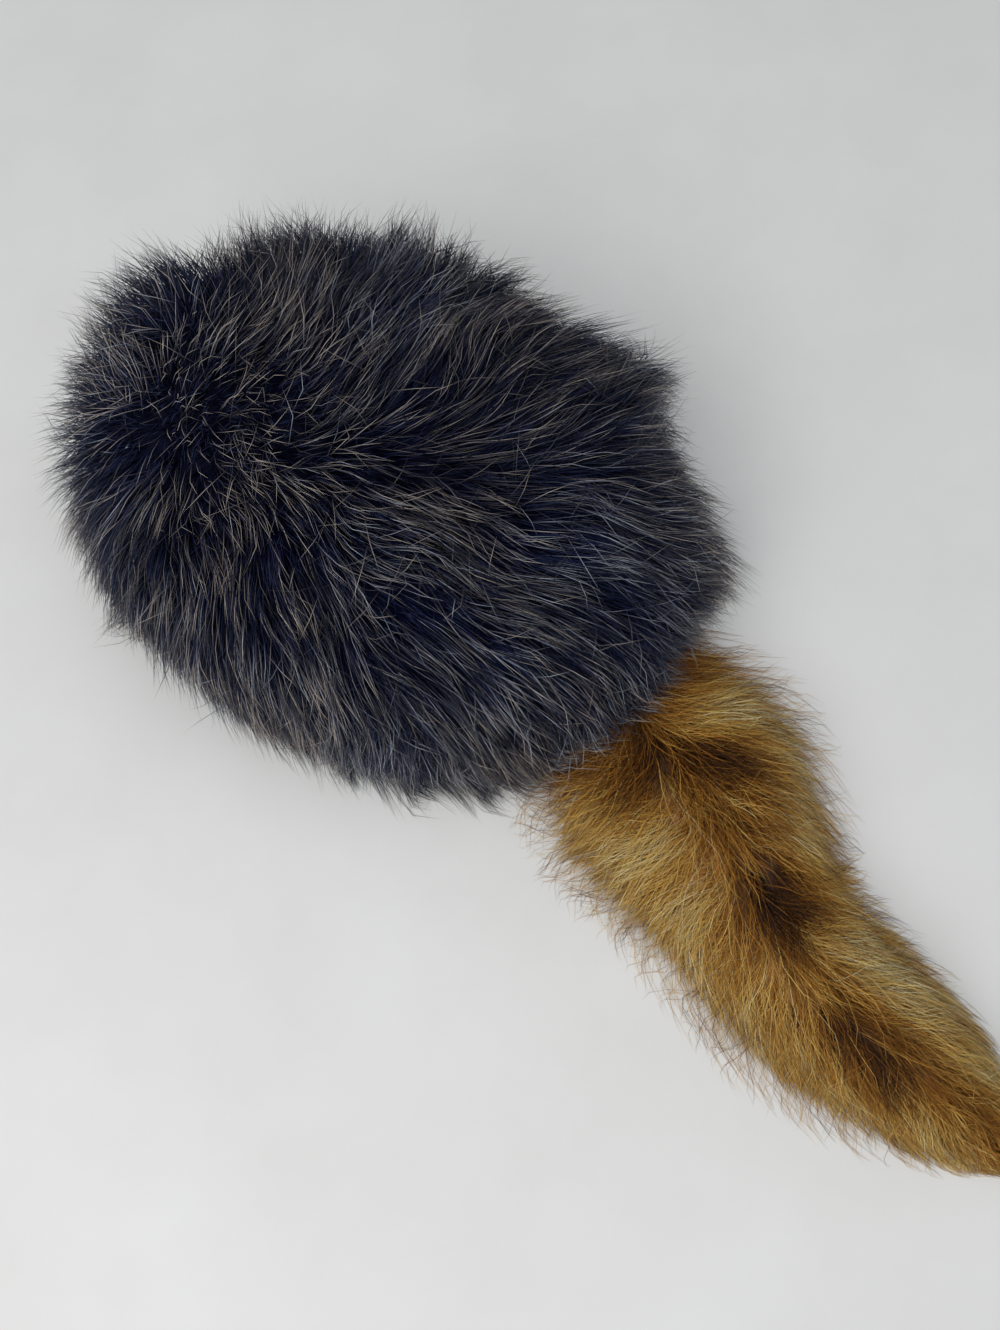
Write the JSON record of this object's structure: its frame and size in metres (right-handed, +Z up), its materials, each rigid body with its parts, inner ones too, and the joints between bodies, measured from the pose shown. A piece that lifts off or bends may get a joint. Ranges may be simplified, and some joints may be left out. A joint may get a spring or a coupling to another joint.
{
  "type": "coonskin cap",
  "caption": "Round deep-furred cap made of an oval crown and a side band, lying with a long furry ringed tail laid out behind it.",
  "frame": {"origin": "on the table, under the middle of the bounding box of cap and tail together", "axes": "+Z up from the table, +Y from the cap's front to its back and on along the tail, +X to the wearer's left"},
  "size_m": [0.2306, 0.434, 0.114],
  "materials": {
    "cap_cloth": "woven back of pile cloth, dull",
    "cap_fur": "deep dark pile with pale tips, low sheen",
    "tail_hide": "dull",
    "tail_fur": "long soft fur, tan with dark brown patches"
  },
  "bodies": {
    "root": {"crown": "cap_cloth", "side_band": "cap_cloth", "crown_fur": "cap_fur", "band_fur": "cap_fur", "tail_hide": "tail_hide", "tail_fur": "tail_fur"}
  },
  "joints": []
}
